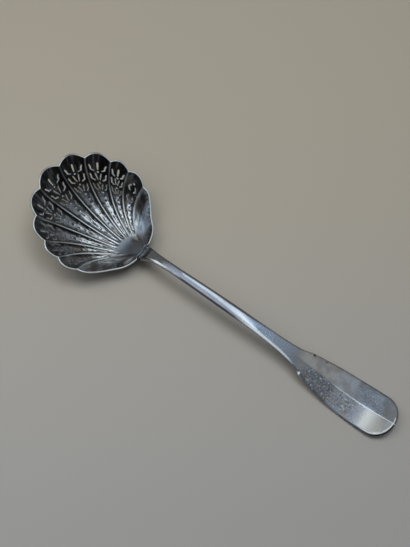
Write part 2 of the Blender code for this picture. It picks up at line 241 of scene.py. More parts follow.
def plan(phi, q):
    """Plan position of points of the shell and the depth of the flute there."""
    phi = np.asarray(phi, float)
    q = np.asarray(q, float)
    k, arch = flute_arch(phi)
    width = FOLDS[k + 1] - FOLDS[k]
    run = q * reach(phi)
    fluted = is_fluted(k)
    far = run + np.where(fluted, LOBE_REACH * arch, curve(WING_RIM, np.abs(phi))) * q ** 4
    fade = rise(run, FLUTE_START, FLUTE_FULL - FLUTE_START)
    depth = np.where(fluted, FLUTE_RISE * arch * run * np.radians(width) * fade, 0.0)
    turn = np.radians(phi * (1.0 - RIDGE_SAG * np.sin(np.pi * q)))
    return HEEL_X - far * np.cos(turn), far * np.sin(turn), depth


def plan_points(phi, q):
    x, y, _ = plan(phi, q)
    return np.stack([x, y], axis=1)


def to_world(x, y, z):
    c = math.cos(BOWL_TILT)
    s = math.sin(BOWL_TILT)
    return np.stack([BOWL_CENTRE_X + x * c + z * s, y, BOWL_CENTRE_Z - x * s + z * c], axis=-1)


def off_base(x, y, out):
    """Points the given distance outside the plain bowl; nothing reaches below the table."""
    x = np.asarray(x, float)
    y = np.asarray(y, float)
    n = base_normal(x, y)
    p = to_world(x + n[..., 0] * out, y + n[..., 1] * out, base_height(x, y) + n[..., 2] * out)
    p[..., 2] = np.maximum(p[..., 2], 0.0)
    return p


# Piercings

DOT_SIDES = 14
PATH_STEPS = 4
METRIC_STEP = 0.01


def lobe_piercings(k):
    """A lobe's piercings from the rim inward, as (points in u and q, width); one point is a dot."""
    found = []

    def both(points, width):
        found.append((points, width))
        found.append(([(-u, q) for u, q in points], width))

    def dot(q, size):
        found.append(([(0.0, q)], size))

    def bar(top, bottom, width):
        swell = (1.0 - BAR_SWELL_AT) * top + BAR_SWELL_AT * bottom
        found.append(([(0.0, top), (0.0, swell), (0.0, bottom)], width))

    if k in (FLUTED[0], FLUTED[-1]):
        dot(0.925, DOT_SIZE)
        both([(0.26, 0.905), (0.46, 0.883), (0.27, 0.852)], SLIT_WIDTH)
        both([(0.3, 0.8), (0.48, 0.775), (0.3, 0.742)], FINE_SLIT_WIDTH)
    else:
        bar(0.945, 0.896, BAR_WIDTH)
        both([(0.72, 0.944), (0.62, 0.922), (0.58, 0.905), (0.33, 0.889)], SLIT_WIDTH)
        dot(0.878, DOT_SIZE)
        both([(0.27, 0.868), (0.2, 0.848), (0.1, 0.818)], FINE_SLIT_WIDTH)
        both([(0.74, 0.876), (0.67, 0.853), (0.65, 0.834), (0.37, 0.813)], SLIT_WIDTH)
        dot(0.79, FINE_DOT_SIZE)
        both([(0.27, 0.78), (0.2, 0.762), (0.1, 0.735)], FINE_SLIT_WIDTH)
        both([(0.7, 0.79), (0.63, 0.768), (0.62, 0.75), (0.38, 0.728)], FINE_SLIT_WIDTH)
    dot(0.705, DOT_SIZE)
    both([(0.52, 0.7), (0.46, 0.675), (0.4, 0.645)], FINE_SLIT_WIDTH)
    dot(0.655, FINE_DOT_SIZE)
    dot(0.61, DOT_SIZE)
    both([(0.5, 0.6), (0.46, 0.575), (0.42, 0.545)], FINE_SLIT_WIDTH)
    dot(0.55, FINE_DOT_SIZE)
    both([(0.45, 0.5), (0.43, 0.47), (0.42, 0.44)], FINE_SLIT_WIDTH)
    dot(0.49, FINE_DOT_SIZE)
    bar(0.455, 0.4, FINE_SLIT_WIDTH)
    dot(0.37, FINE_DOT_SIZE)
    bar(0.335, 0.262, FINE_SLIT_WIDTH)
    return found


def lobe_metric(k, q):
    """Millimetres per unit of u and per unit of q at the middle of a lobe."""
    mid, span = lobe_span(k)
    across = q * reach(mid) * math.radians(span)
    x, y, depth = plan([mid, mid], [q - METRIC_STEP, q + METRIC_STEP])
    ends = off_base(x, y, depth)
    return float(across), float(np.linalg.norm(ends[1] - ends[0])) / (2.0 * METRIC_STEP)


def rounded_line(points):
    """A smooth line through the given points."""
    path = [points[0]] + points + [points[-1]]
    found = []
    for p0, p1, p2, p3 in zip(path, path[1:], path[2:], path[3:]):
        for i in range(PATH_STEPS):
            t = i / PATH_STEPS
            found.append(0.5 * (2.0 * p1 + (p2 - p0) * t + (2.0 * p0 - 5.0 * p1 + 4.0 * p2 - p3) * t * t
                                + (3.0 * p1 - p0 - 3.0 * p2 + p3) * t ** 3))
    found.append(points[-1])
    return found


def dot_ring(centre, radius):
    ring = []
    for i in range(DOT_SIDES):
        a = math.tau * i / DOT_SIDES
        ring.append(centre + radius * np.array([math.cos(a), math.sin(a)]))
    return ring


def slit_ring(path, width, grow):
    """A slit's outline round its path, widest near the middle, with rounded ends."""
    last = len(path) - 1
    lefts = []
    rights = []
    caps = []
    for i, p in enumerate(path):
        way = path[min(i + 1, last)] - path[max(i - 1, 0)]
        way = way / np.linalg.norm(way)
        left = np.array([-way[1], way[0]])
        half = width * (SLIT_END + SLIT_SWELL * math.sin(math.pi * (i / last) ** SLIT_LEAN)) + grow
        lefts.append(p + half * left)
        rights.append(p - half * left)
        if i in (0, last):
            nose = -way if i == 0 else way
            corners = [p + half * (turn * CAP_SIDE * left + CAP_OUT * nose) for turn in (1.0, -1.0)]
            caps.append([corners[0], p + half * CAP_NOSE * nose, corners[1]])
    return lefts + caps[1] + rights[::-1] + caps[0][::-1]


def hole_ring(k, points, width, grow):
    """A piercing's outline on lobe k as arrays of angle and q, counterclockwise in plan."""
    across, along = lobe_metric(k, points[len(points) // 2][1])
    width = min(width, HOLE_SHARE * across)
    path = [np.array([u * across, q * along]) for u, q in points]
    if len(path) == 1:
        ring = dot_ring(path[0], 0.5 * width + grow)
    else:
        ring = slit_ring(rounded_line(path), width, grow)
    mid, span = lobe_span(k)
    phi = np.array([mid + p[0] / across * span for p in ring])
    q = np.array([p[1] / along for p in ring])
    x, y, _ = plan(phi, q)
    turning = np.sum(x * np.roll(y, -1) - np.roll(x, -1) * y)
    return (phi, q) if turning > 0.0 else (phi[::-1], q[::-1])


def clear_of(ring, points, clear):
    """Which plan points lie outside a closed ring by at least the given distance."""
    keep = np.ones(len(points), bool)
    near = np.all((points > ring.min(0) - clear) & (points < ring.max(0) + clear), axis=1)
    if not near.any():
        return keep
    p = points[near][:, None, :]
    a = ring[None, :, :]
    b = np.roll(ring, -1, axis=0)[None, :, :]
    t = np.clip(np.sum((p - a) * (b - a), axis=2) / np.sum((b - a) ** 2, axis=2), 0.0, 1.0)
    gap = np.linalg.norm(p - a - t[..., None] * (b - a), axis=2).min(1)
    crosses = (a[..., 1] > p[..., 1]) != (b[..., 1] > p[..., 1])
    height = np.where(b[..., 1] == a[..., 1], 1.0, b[..., 1] - a[..., 1])
    side = (b[..., 0] - a[..., 0]) * (p[..., 1] - a[..., 1]) / height + a[..., 0]
    inside = np.sum(crosses & (p[..., 0] < side), axis=1) % 2 == 1
    keep[near] = (gap > clear) & ~inside
    return keep


# Wear of the bowl, and its painted highlights and shade. A zone is (from, to, soft margin), a fade is
# (start or end, length), a patch is (amount, zone in angle, zone in q), and the other tables have pairs of a
# place and its value.

EVERY = (-999.0, 999.0, 1.0)
RIDGE_START = ((-54.0, 13.0), (-20.0, 9.5))  # distance from the heel, by angle
RIDGE_FADE = 2.5
RIDGE_LINE = (0.42, 0.36)
RIDGE_BY_ANGLE = ((58.0, 1.0), (66.0, 0.35), (80.0, 0.35), (82.0, 0.0))
RIDGE_BY_Q = ((0.5, 1.0), (0.85, 0.3))
OUTER_RIDGES = 50.0  # past this angle the painted ridge highlights begin further out
OUTER_RIDGE_FADE = (0.22, 0.1)
FLUTE_STAIN = ((-50.0, 0.72), (-28.0, 0.78), (-12.0, 0.88), (0.0, 1.0), (12.0, 1.12))
FLUTE_STAIN_FROM = 0.57
FLUTE_STAIN_OVER = ((-10.0, 0.5), (10.0, 0.4))
LEFT_STAIN = (0.28, (-99.0, -38.0, 14.0), (0.2, 0.7, 0.1))
BESIDE_FROM = 0.6  # painted shade: a dark line beside each ridge, in the two halves of a flute
BESIDE_TO = (1.0, 1.25)
BESIDE_SPREAD = 0.5
BESIDE_SOFT = 0.25
BESIDE_SHADE = (0.95, 1.6)
BESIDE_FADE = 2.0
BESIDE_BY_Q = ((0.5, 1.0), (0.8, 0.6))
RIDGE_CLEAN = 0.85
RIGHT_WING = ((0.35, EVERY, (0.94, 9.0, 0.2)), (0.5, (80.0, 99.0, 10.0), EVERY))
RIGHT_SPOT = (0.75, EVERY, (0.76, 0.9, 0.1))
SPOT_ANGLE = 57.5
SPOT_WIDTH = 3.5
LEFT_WING = ((0.42, EVERY, EVERY), (0.3, EVERY, (0.92, 9.0, 0.3)), (0.3, EVERY, (-9.0, 0.22, 0.12)),
             (0.3, (-78.0, -73.5, 2.0), (0.4, 0.92, 0.1)))
WING_FADE = (0.05, 0.1)
HEEL_STAIN = 0.5
HEEL_TO = ((20.0, 9.5), (40.0, 13.0))
HEEL_FADE = 6.0
FLUTE_HAZE = (0.07, EVERY, (0.36, 0.74, 0.16))
WING_HAZE = ((0.4, (55.0, 70.0, 8.0), (0.38, 0.7, 0.1)), (0.14, (-70.0, -56.0, 8.0), (0.34, 0.66, 0.12)))
START_HAZE = (0.16, (-50.0, 50.0, 15.0), (-0.5, 1.0, 2.5))  # the second zone is past the ridges' start
FLUTE_SHEEN = (1.35, EVERY, (0.26, 0.52, 0.1))
SHEEN_MIDDLE = 0.48
SHEEN_WIDTH = 0.2
FLAT_SHEEN = (0.8, (34.0, 52.0, 3.0), (0.22, 0.4, 0.06))
WING_SHEEN = ((1.0, (55.5, 59.0, 3.0), (0.44, 0.54, 0.06)), (0.6, (-84.0, -80.0, 2.5), (0.55, 0.88, 0.1)),
              (0.5, (-68.0, -58.0, 3.0), (0.46, 0.66, 0.1)))
RIPPLE_FADE = 5.0
WING_RIPPLE_FADE = (14.0, 8.0)
RIPPLE_BY_Q = ((0.6, 1.0), (0.85, 0.4))
FLECK_HIGHLIGHT = 0.85  # inner piercings: painted highlight toward the heel, painted shade toward the rim
FLECK_SHADE = 1.1
FLECK_SIZE = 0.55
INNER_TO = 0.62


def bell(value, middle, width):
    return np.exp(-((value - middle) / width) ** 2)


def patch(a, b, amount, a_zone, b_zone):
    """A soft patch of wear over two coordinates."""
    return amount * band(a, *a_zone) * band(b, *b_zone)


def patches(a, b, rows, join=np.sum):
    """Several soft patches added up, or the strongest of them."""
    return join([patch(a, b, *row) for row in rows], axis=0)


def ridge_highlight(phi, q, past, off_fold):
    """Painted highlight: the bright line along each ridge."""
    shine = fall(off_fold, *RIDGE_LINE) * ease(past / RIDGE_FADE)
    shine = shine * straight(RIDGE_BY_ANGLE, np.abs(phi))
    shine = shine * np.where(np.abs(phi) > OUTER_RIDGES, rise(q, *OUTER_RIDGE_FADE), 1.0)
    return shine * straight(RIDGE_BY_Q, q)


def painted_shade_beside(q, u, off_fold):
    """Painted shade: the dark line beside each ridge."""
    to = np.where(u > 0.5, BESIDE_TO[1], BESIDE_TO[0]) + BESIDE_SPREAD * q
    amount = np.where(u > 0.5, BESIDE_SHADE[1], BESIDE_SHADE[0])
    return amount * band(off_fold, BESIDE_FROM, to, BESIDE_SOFT)


def flute_stain(phi, q, past, beside, painted_highlights):
    """Tarnish in the flutes toward the rim, and painted shade beside the ridges."""
    stain = straight(FLUTE_STAIN, phi) * rise(q, FLUTE_STAIN_FROM, straight(FLUTE_STAIN_OVER, phi))
    stain = stain + patch(phi, q, *LEFT_STAIN)
    stain = np.maximum(stain, beside * ease(past / BESIDE_FADE) * straight(BESIDE_BY_Q, q))
    return stain * (1.0 - RIDGE_CLEAN * painted_highlights)


def wing_stain(phi, q):
    """Tarnish on the plain wings by the stem, a dark spot on the right and a dark line by the left fold."""
    right = patches(phi, q, RIGHT_WING) + patch(phi, q, *RIGHT_SPOT) * bell(phi, SPOT_ANGLE, SPOT_WIDTH)
    return np.where(phi > 0.0, right, patches(phi, q, LEFT_WING)) * rise(q, *WING_FADE)


def bowl_wear(phi, q):
    """Wear, painted highlights and painted shade inside the bowl at given points, as shares by name."""
    k, _ = flute_arch(phi)
    fluted = is_fluted(k)
    width = FOLDS[k + 1] - FOLDS[k]
    u = (phi - FOLDS[k]) / width
    run = q * reach(phi)
    past = run - straight(RIDGE_START, phi)
    off_fold = np.minimum(u, 1.0 - u) * np.radians(width) * run
    painted_highlights = ridge_highlight(phi, q, past, off_fold)
    beside = painted_shade_beside(q, u, off_fold)
    stain = np.where(fluted, flute_stain(phi, q, past, beside, painted_highlights), wing_stain(phi, q))
    heel = HEEL_STAIN * fall(run, straight(HEEL_TO, phi), HEEL_FADE)
    haze = patch(phi, q, *FLUTE_HAZE) * fluted + patches(phi, q, WING_HAZE) + patch(phi, past, *START_HAZE)
    streaks = patch(phi, q, *FLUTE_SHEEN) * bell(u, SHEEN_MIDDLE, SHEEN_WIDTH) * fluted
    flat = patch(phi, q, *FLAT_SHEEN) * (1.0 - np.minimum(beside, 1.0))
    ripple = np.where(fluted, ease(past / RIPPLE_FADE), rise(run, *WING_RIPPLE_FADE))
    return {
        # tarnish, with painted shade beside the ridges
        "tarnish_and_shade": np.maximum(stain, heel),
        "painted_highlights": painted_highlights,
        "haze": np.clip(haze, 0.0, 1.0),
        "sheen": np.max([streaks, flat, patches(phi, q, WING_SHEEN, np.max)], axis=0),
        "ripple": ripple * straight(RIPPLE_BY_Q, q),
        "side": phi / WING_END,
    }


def inner_flecks(phi, q):
    """Nearness to the rim side and heel side of inner piercings, for painted shade and painted highlight."""
    dark = np.zeros_like(phi)
    bright = np.zeros_like(phi)
    for k in FLUTED:
        mid, span = lobe_span(k)
        length = float(reach(mid))
        for points, _ in lobe_piercings(k):
            u, hole_q = points[len(points) // 2]
            if hole_q > INNER_TO:
                continue
            across = np.radians(phi - mid - u * span) * hole_q * length
            along = (q - hole_q) * length
            dark = np.maximum(dark, np.exp(-(across ** 2 + (along - FLECK_SIZE) ** 2) / FLECK_SIZE ** 2))
            bright = np.maximum(bright, np.exp(-(across ** 2 + (along + FLECK_SIZE) ** 2) / FLECK_SIZE ** 2))
    return dark, bright


# The bowl's mesh

FLUTE_COLUMNS = (0.0, 0.018, 0.045, 0.085, 0.14, 0.21, 0.3, 0.4,
                 0.5, 0.6, 0.7, 0.79, 0.86, 0.915, 0.955, 0.982)
WING_COLUMNS = tuple(i / 10.0 for i in range(10))
SIDE_POINTS = 12
HEEL_Q = 0.115  # nearer the heel than this the points lie in fewer, shorter rows
HEEL_TIP_Q = 0.015
HEEL_MARGIN_Q = 0.008
HEEL_ROWS = 12
HEEL_POINTS = 8
HEEL_POINTS_PER_Q = 260
HEEL_INSET = 2.0
ROWS = np.linspace(HEEL_Q, 1.0, 100)
HOLE_CLEAR = 0.14
EDGE_STEPS = 8
MERGE = 1e-6

RIM_TURN = 0.68 * math.pi  # the painted highlight lies on the upper part of the rim's edge
RIM_HIGHLIGHT = 0.86
RIM_HIGHLIGHT_FADE = (0.8, 0.15)
RIM_DIM_AT = 5.0
RIM_DIM_SPAN = ((18.0, 1.0), (40.0, 0.0))
RIM_DIM = ((0.15, 0.3), (0.6, 1.0))  # the painted highlight is weaker at the tops of the front lobes
HOLE_HIGHLIGHT = 0.1  # painted highlight on the edge of the outer piercings, and more on their walls
HOLE_HIGHLIGHT_FADE = (0.6, 0.1)
HOLE_WALL_HIGHLIGHT = 0.75
HOLE_WALL_FADE = (0.55, 0.15)
HOLE_WALL_BY_ANGLE = ((-34.0, 0.15), (-12.0, 1.0))
WALL_STAIN = 0.3
UNDER_STAIN = 0.3
EDGE_STAIN = 0.4
STREAK_SPREAD = ((0.0, 0.0), (40.0, 40.0), (90.0, 68.0))
STREAK_FADE = (7.0, 6.0)  # the streaks close up on the heel
STREAK_ANGLE = 2.0
STREAK_RUN = 0.2


def bowl_points():
    """Angle and q of the bowl's points, then its border, piercings, their walls' outlines, and the ridges."""
    phis = []
    qs = []

    def add(phi, q):
        start = len(phis)
        phis.extend(np.atleast_1d(phi).tolist())
        qs.extend(np.atleast_1d(q).tolist())
        return list(range(start, len(phis)))

    columns = []
    for k in range(LOBES):
        shares = FLUTE_COLUMNS if is_fluted(k) else WING_COLUMNS
        columns.extend((k, FOLDS[k] + s * (FOLDS[k + 1] - FOLDS[k]), s) for s in shares)
    columns.append((LOBES - 1, WING_END, 1.0))
    rim = add([phi for _, phi, _ in columns], [1.0] * len(columns))
    side_q = np.linspace(0.0, 1.0, SIDE_POINTS)
    right = add([WING_END] * (SIDE_POINTS - 1), side_q[::-1][1:])
    left = add([-WING_END] * (SIDE_POINTS - 2), side_q[1:-1])
    border = (rim + right + left)[::-1]

    holes = []
    walls = []
    rings = {k: [] for k in range(LOBES)}
    for k in FLUTED:
        for points, width in lobe_piercings(k):
            phi, q = hole_ring(k, points, width, HOLE_BEVEL)
            rings[k].append(plan_points(phi, q))
            holes.append(add(phi, q))
            walls.append(hole_ring(k, points, width, 0.0))

    ridges = []
    rim_at = {phi: i for (_, phi, _), i in zip(columns, rim)}
    for k, phi, share in columns[1:-1]:
        q = ROWS[:-1]
        places = plan_points(np.full(len(q), phi), q)
        keep = np.ones(len(q), bool)
        for ring in rings[k]:
            keep &= clear_of(ring, places, HOLE_CLEAR)
        chain = add(np.full(keep.sum(), phi), q[keep])
        if share == 0.0 and WING_PANELS <= k <= LOBES - WING_PANELS:
            chain = chain + [rim_at[phi]]
            ridges.extend(zip(chain, chain[1:]))
    for q in np.linspace(HEEL_TIP_Q, HEEL_Q - HEEL_MARGIN_Q, HEEL_ROWS):
        count = HEEL_POINTS + int(q * HEEL_POINTS_PER_Q)
        add(np.linspace(-WING_END + HEEL_INSET, WING_END - HEEL_INSET, count), np.full(count, q))
    return np.array(phis), np.array(qs), border, holes, walls, ridges


def bowl_triangles(phis, qs, border, holes, ridges):
    """Triangles between the border and the piercings, with edges along the ridges."""
    corners = [Vector(p) for p in plan_points(phis, qs).tolist()]
    made = delaunay_2d_cdt(corners, ridges, [border] + holes, 0, MERGE)
    source = [origin[0] for origin in made[3]]
    kept = []
    for triangle, owners in zip(made[2], made[5]):
        if list(owners) == [0]:
            kept.append([source[i] for i in triangle])
    return kept


def rim_rings(inner, outer):
    """Rings of points round the border's edge, from the inside of the sheet to its outside."""
    through = outer - inner
    out = through / np.linalg.norm(through, axis=1, keepdims=True)
    way = np.roll(inner, -1, axis=0) - np.roll(inner, 1, axis=0)
    away = np.cross(out, way)
    away = away / np.linalg.norm(away, axis=1, keepdims=True)
    if np.sum((inner - inner.mean(0)) * away) < 0.0:
        away = -away
    rings = []
    for step in range(1, EDGE_STEPS):
        turn = math.pi * step / EDGE_STEPS
        ring = inner + through * (0.5 - 0.5 * math.cos(turn)) + away * EDGE_ROUND * math.sin(turn)
        ring[:, 2] = np.maximum(ring[:, 2], 0.0)
        rings.append(ring)
    return rings


def shell_faces(triangles, rings, count):
    """Faces of the sheet's inside and outside, and of the walls that join them through the rings."""
    below = {}
    total = 2 * count
    for ids in rings:
        for n, i in enumerate(ids):
            below.setdefault(i, []).append(total + n)
        total += len(ids)
    faces = []
    open_edges = {}
    for a, b, c in triangles:
        faces.append((a, b, c))
        faces.append((c + count, b + count, a + count))
        for edge in ((a, b), (b, c), (c, a)):
            if (edge[1], edge[0]) in open_edges:
                del open_edges[(edge[1], edge[0])]
            else:
                open_edges[edge] = True
    for a, b in open_edges:
        first = [a] + below[a] + [a + count]
        second = [b] + below[b] + [b + count]
        for a0, a1, b0, b1 in zip(first, first[1:], second, second[1:]):
            faces.append((b0, a0, a1, b1))
    return faces


def rim_highlight(phi, q):
    """Painted highlight: how bright the rim's edge is at points of the border."""
    k, _ = flute_arch(phi)
    across = np.abs(2.0 * (phi - FOLDS[k]) / (FOLDS[k + 1] - FOLDS[k]) - 1.0)
    front = straight(RIM_DIM_SPAN, np.abs(phi - RIM_DIM_AT))
    shine = 1.0 - front * (1.0 - straight(RIM_DIM, across))
    return RIM_HIGHLIGHT * shine * rise(q, *RIM_HIGHLIGHT_FADE)


def bowl_attributes(phis, qs, border, holes):
    """Wear and painted light by name, for points of the inside, outside, rim's edge and piercings' walls."""
    wear = bowl_wear(phis, qs)
    dark, bright = inner_flecks(phis, qs)
    # painted shade on the rim side and painted highlight on the heel side of the inner piercings
    wear["tarnish_and_shade"] = np.maximum(wear["tarnish_and_shade"], FLECK_SHADE * dark)
    wear["painted_highlights"] = np.maximum(wear["painted_highlights"], FLECK_HIGHLIGHT * bright)
    # painted highlight on the edges of the outer piercings
    for ids in holes:
        edge_highlight = HOLE_HIGHLIGHT * rise(qs[ids], *HOLE_HIGHLIGHT_FADE)
        wear["painted_highlights"][ids] = np.maximum(wear["painted_highlights"][ids], edge_highlight)

    steps = EDGE_STEPS - 1
    wall_ids = np.concatenate([np.tile(ids, 2) for ids in holes])
    no_outside = np.zeros(len(phis))
    no_edge = np.zeros(steps * len(border))
    no_wall = np.zeros(len(wall_ids))
    wall_highlight = HOLE_WALL_HIGHLIGHT * rise(qs[wall_ids], *HOLE_WALL_FADE)
    wall_highlight = wall_highlight * straight(HOLE_WALL_BY_ANGLE, phis[wall_ids])
    edge_stain = np.tile(wear["tarnish_and_shade"][border], steps) * EDGE_STAIN
    rest = {
        "tarnish_and_shade": (no_outside + UNDER_STAIN, edge_stain, no_wall + WALL_STAIN),
        "painted_highlights": (no_outside, no_edge, wall_highlight),
    }
    found = {}
    for name, inside in wear.items():
        found[name] = np.concatenate([inside, *rest.get(name, (no_outside, no_edge, no_wall))])
    # painted highlight on the upper part of the rim's edge, kept in the rim attribute
    turn = np.pi * np.repeat(np.arange(1, EDGE_STEPS), len(border)) / EDGE_STEPS
    shine = np.tile(rim_highlight(phis[border], qs[border]), steps)
    shine = np.sin(np.clip(turn / RIM_TURN, 0.0, 1.0) * np.pi) * shine
    found["rim"] = np.concatenate([no_outside, no_outside, shine, no_wall])
    return found


def streak_flow(phis, qs, total):
    """Where each point reads the streaks' noise, so that they run from the heel to the rim."""
    spread = straight(STREAK_SPREAD, np.abs(phis)) * np.sign(phis)
    spread = spread * rise(qs * reach(phis), *STREAK_FADE)
    flow = np.stack([spread / STREAK_ANGLE, qs / STREAK_RUN, np.zeros(len(phis))], axis=1)
    return np.concatenate([flow, flow, np.zeros((total - 2 * len(phis), 3))])


def build_bowl():
    phis, qs, border, holes, walls, ridges = bowl_points()
    x, y, depth = plan(phis, qs)
    inner = off_base(x, y, depth)
    outer = off_base(x, y, depth + SHEET)
    rings = [(border, ring) for ring in rim_rings(inner[border], outer[border])]
    for ids, wall in zip(holes, walls):
        x, y, depth = plan(*wall)
        for skin in (HOLE_BEVEL, SHEET - HOLE_BEVEL):
            rings.append((ids, off_base(x, y, depth + skin)))
    points = np.concatenate([inner, outer] + [ring for _, ring in rings])
    triangles = bowl_triangles(phis, qs, border, holes, ridges)
    faces = shell_faces(triangles, [ids for ids, _ in rings], len(phis))
    used = np.zeros(len(points), bool)
    for face in faces:
        used[list(face)] = True
    place = np.cumsum(used) - 1
    faces = [tuple(int(place[i]) for i in face) for face in faces]
    piece = make_piece("shell_bowl_silver", points[used], faces)
    for name, values in bowl_attributes(phis, qs, border, holes).items():
        set_attribute(piece, name, values[used])
    flow = streak_flow(phis, qs, len(points))
    set_attribute(piece, "flow", flow[used], "FLOAT_VECTOR", "vector")
    return piece


# The handle's mesh

NECK_X = (48.0, 56.0)  # the stations lie closest together at the shoulders
STEM_STEP = 0.6
NECK_STEP = 0.16
BLADE_STEP = 0.55
SHOULDER_GAP = 0.02
TIP_STEPS = 48
OUTLINE_STEPS = 1600
OUTLINE_START_X = HANDLE_START_X - 3.0
CHUNK = 400  # points measured against the outline at a time
SLOPE_REACH = 0.2
TOP_ROWS = 14  # across half of the handle's top, then over its edge
ROW_CLOSENESS = 1.7  # rows lie closer together at the ridge
EDGE_ROWS = 9
SIDE_ROWS = 3
EDGE_ZONE = 1.1
EDGE_ZONE_SHARE = 0.45
TIP_HALF = 0.25
CREASE = 0.22
CHAMFER_ROUND = 0.3
CHAMFER_SLOPE = 0.52
STEM_CROWN = 0.05  # the stem's top is a little higher along its middle
EDGE_CHANGE = (47.0, 6.0)  # the stem's chamfer turns into the blade's round edge
ROOF_CHANGE = (49.0, 12.0)
ROOF_FULL = 1.25
FLAT_SHARE = 0.94  # flat part of the top, which narrows to the blade's ridge
FLAT_LOSS = 0.9
INNER_SHARE = 0.6
LEAST_ROOF = 0.05
TONGUE_STEPS = 22
TONGUE_POWER = 2.6
TONGUE_ROUND = 0.6
TONGUE_LEAST = 0.002
TONGUE_TAPER = 0.8
LANE_ROUND = 0.7


def half_width(x):
    x = np.asarray(x, float)
    t = np.clip((x - ROUND_START_X) / (HANDLE_END_X - ROUND_START_X), 0.0, 1.0)
    tip = BLADE_SIDE[-1][1] * np.maximum(1.0 - t ** TIP_POWER, 0.0) ** TIP_ROUND
    blade = np.where(x <= ROUND_START_X, curve(BLADE_SIDE, x), tip)
    return np.where(x < SHOULDER_X, curve(STEM_HALF, x), blade)


def tip_stations():
    turn = np.linspace(0.0, 0.5 * math.pi, TIP_STEPS)[:-1]
    return ROUND_START_X + (HANDLE_END_X - ROUND_START_X) * np.sin(turn)


def handle_stations():
    stem = np.arange(HANDLE_START_X, NECK_X[0], STEM_STEP)
    neck = np.arange(NECK_X[0], NECK_X[1], NECK_STEP)
    blade = np.arange(NECK_X[1], ROUND_START_X, BLADE_STEP)
    shoulder = np.array([SHOULDER_X - SHOULDER_GAP, SHOULDER_X + SHOULDER_GAP])
    return np.unique(np.concatenate([stem, neck, shoulder, blade, tip_stations()]))


def distance_to_side(x, y):
    """Distance in plan from points of the handle to its outline."""
    along = np.linspace(OUTLINE_START_X, ROUND_START_X, OUTLINE_STEPS)
    along = np.unique(np.concatenate([along, tip_stations(), [HANDLE_END_X]]))
    outline = np.stack([along, half_width(along)], axis=1)
    a = outline[:-1]
    b = outline[1:]
    points = np.stack([x.ravel(), np.abs(y.ravel())], axis=1)
    found = np.empty(len(points))
    for i in range(0, len(points), CHUNK):
        p = points[i:i + CHUNK][:, None, :]
        t = np.clip(np.sum((p - a) * (b - a), axis=2) / np.sum((b - a) ** 2, axis=1), 0.0, 1.0)
        found[i:i + CHUNK] = np.linalg.norm(p - a - t[..., None] * (b - a), axis=2).min(1)
    return found.reshape(x.shape)


def handle_rings():
    """Rings of points round the handle, from one station to the next."""
    xs = handle_stations()
    w = np.maximum(half_width(xs), TIP_HALF)
    ahead = np.minimum(xs + SLOPE_REACH, HANDLE_END_X)
    behind = np.maximum(xs - SLOPE_REACH, HANDLE_START_X)
    slope = (curve(CROWN, ahead) - curve(CROWN, behind)) / (ahead - behind)
    up = np.stack([-slope, np.zeros_like(slope), np.ones_like(slope)], axis=1)
    up = up / np.linalg.norm(up, axis=1, keepdims=True)
    rounded = rise(xs, *EDGE_CHANGE)[:, None]
    edge = STEM_CHAMFER + (BLADE_EDGE - STEM_CHAMFER) * rounded
    drop = ROOF_DROP * rise(xs, *ROOF_CHANGE) * np.minimum(1.0, w / BLADE_HALF * ROOF_FULL)
    inner_edge = np.maximum(w - edge[:, 0], INNER_SHARE * w)
    flat = inner_edge * (FLAT_SHARE - FLAT_LOSS * rise(xs, FLAT_START_X, FLAT_END_X - FLAT_START_X))

    zone = np.minimum(EDGE_ZONE, EDGE_ZONE_SHARE * w)[:, None]
    inside = np.linspace(0.0, 1.0, TOP_ROWS, endpoint=False) ** ROW_CLOSENESS
    over = np.sin(np.linspace(0.0, 0.5 * math.pi, EDGE_ROWS))
    top_half = w[:, None] - zone
    lateral = np.concatenate([inside * top_half, top_half + over * zone], axis=1)
    gap = distance_to_side(np.repeat(xs[:, None], lateral.shape[1], axis=1), lateral)
    gap[:, -1] = 0.0
    past = lateral - flat[:, None]
    soft = 0.5 * (past + np.sqrt(past ** 2 + CREASE ** 2))
    roof = -drop[:, None] * soft / np.maximum(inner_edge - flat, LEAST_ROOF)[:, None]
    cut = edge - gap
    slant = CHAMFER_SLOPE * 0.5 * (cut + np.sqrt(cut ** 2 + CHAMFER_ROUND ** 2))
    slant = slant + STEM_CROWN * (lateral / w[:, None]) ** 2
    share = np.clip(cut / edge, 0.0, 1.0)
    round_over = edge * (1.0 - np.sqrt(1.0 - share ** 2))
    chamfer = slant + (round_over - slant) * rounded
    top = roof - chamfer
    bottom = -curve(THICKNESS, xs)[:, None] + chamfer

    side = np.linspace(0.0, 1.0, SIDE_ROWS + 2)[1:-1]
    wall = top[:, -1:] + (bottom[:, -1:] - top[:, -1:]) * side
    half_y = np.concatenate([lateral, np.repeat(w[:, None], SIDE_ROWS, axis=1), lateral[:, ::-1]], axis=1)
    half_h = np.concatenate([top, wall, bottom[:, ::-1]], axis=1)
    ring_y = np.concatenate([half_y, -half_y[:, -2:0:-1]], axis=1)
    ring_h = np.concatenate([half_h, half_h[:, -2:0:-1]], axis=1)
    ring_x = np.repeat(xs[:, None], ring_y.shape[1], axis=1)
    ring_z = np.repeat(curve(CROWN, xs)[:, None], ring_y.shape[1], axis=1)
    rings = np.stack([ring_x, ring_y, ring_z], axis=2) + up[:, None, :] * ring_h[:, :, None]
    rings[:, :, 2] = np.maximum(rings[:, :, 2], 0.0)
    return rings


def tongue_ring(run, top, half, thick, lanes):
    """A section of the tongue that follows the heel's outside, run millimetres in from its edge."""
    ys = np.array([lane[0] for lane in lanes]) * half
    ts = np.array([lane[1] for lane in lanes]) * thick
    return off_base(np.full(len(lanes), HEEL_X - run), ys, top + ts)


